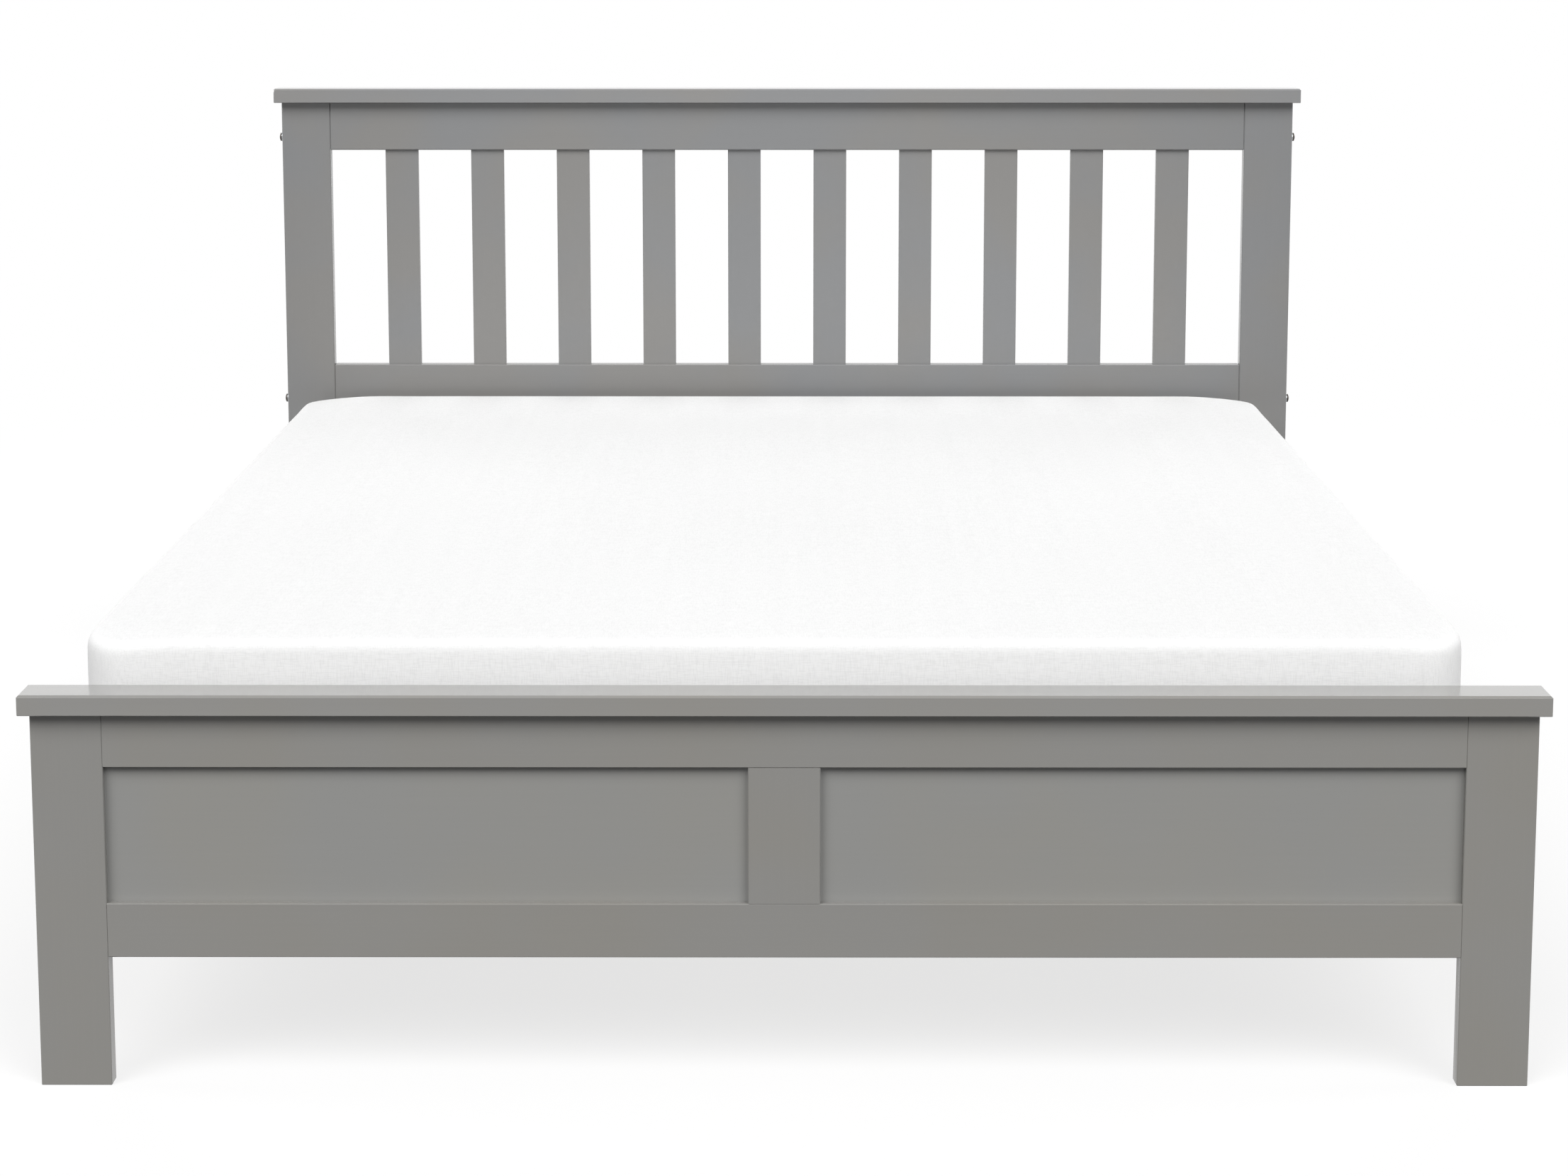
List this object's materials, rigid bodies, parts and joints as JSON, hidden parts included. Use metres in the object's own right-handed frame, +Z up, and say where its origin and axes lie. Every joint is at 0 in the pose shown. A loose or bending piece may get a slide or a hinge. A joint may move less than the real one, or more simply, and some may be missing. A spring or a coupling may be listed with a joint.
{
  "type": "double bed",
  "caption": "Painted wooden double bed with a slatted headboard, a low panelled footboard, bolted side rails, a slatted base on a centre beam, and a mattress that lifts off.",
  "frame": {"origin": "middle of the bed's outline on the floor, under the legs", "axes": "+X to the right as seen from the foot end, +Y towards the headboard, +Z up"},
  "size_m": [1.747, 2.149, 1.038],
  "materials": {
    "grey_paint": "satin",
    "bare_pine": "matte",
    "zinc_steel": "satin",
    "dark_steel": "satin",
    "brass": "satin",
    "mattress_cover": "matte"
  },
  "bodies": {
    "frame": {"headboard_post_left": "grey_paint", "headboard_post_right": "grey_paint", "headboard_cap": "grey_paint", "headboard_top_rail": "grey_paint", "headboard_middle_rail": "grey_paint", "headboard_bottom_rail": "grey_paint", "headboard_slat_01": "grey_paint", "headboard_slat_02": "grey_paint", "headboard_slat_03": "grey_paint", "headboard_slat_04": "grey_paint", "headboard_slat_05": "grey_paint", "headboard_slat_06": "grey_paint", "headboard_slat_07": "grey_paint", "headboard_slat_08": "grey_paint", "headboard_slat_09": "grey_paint", "headboard_slat_10": "grey_paint", "footboard_post_left": "grey_paint", "footboard_post_right": "grey_paint", "footboard_cap": "grey_paint", "footboard_top_rail": "grey_paint", "footboard_bottom_rail": "grey_paint", "footboard_stile": "grey_paint", "footboard_panel_left": "grey_paint", "footboard_panel_right": "grey_paint", "side_rail_left": "grey_paint", "side_rail_right": "grey_paint", "cleat_left": "bare_pine", "cleat_right": "bare_pine", "centre_beam": "bare_pine", "centre_leg_front": "bare_pine", "centre_leg_rear": "bare_pine", "bed_slat_01": "bare_pine", "bed_slat_02": "bare_pine", "bed_slat_03": "bare_pine", "bed_slat_04": "bare_pine", "bed_slat_05": "bare_pine", "bed_slat_06": "bare_pine", "bed_slat_07": "bare_pine", "bed_slat_08": "bare_pine", "bed_slat_09": "bare_pine", "bed_slat_10": "bare_pine", "bed_slat_11": "bare_pine", "bed_slat_12": "bare_pine", "bed_slat_13": "bare_pine", "bed_slat_14": "bare_pine", "dowels": "bare_pine", "headboard_washers": "zinc_steel", "barrel_nuts": "zinc_steel", "corner_brackets": "zinc_steel", "bracket_bolts": "zinc_steel", "beam_hangers": "zinc_steel", "hanger_screws": "zinc_steel", "cleat_screws": "zinc_steel", "slat_screws": "zinc_steel", "leg_bolts": "zinc_steel", "leg_nuts": "zinc_steel", "headboard_bolts": "dark_steel", "threaded_inserts": "brass"},
    "mattress": {"mattress": "mattress_cover"}
  },
  "joints": [
    {"name": "mattress_lift", "type": "slide", "parent": "frame", "child": "mattress", "axis": [0, 0, 1], "range_m": [0, 0.75]}
  ]
}
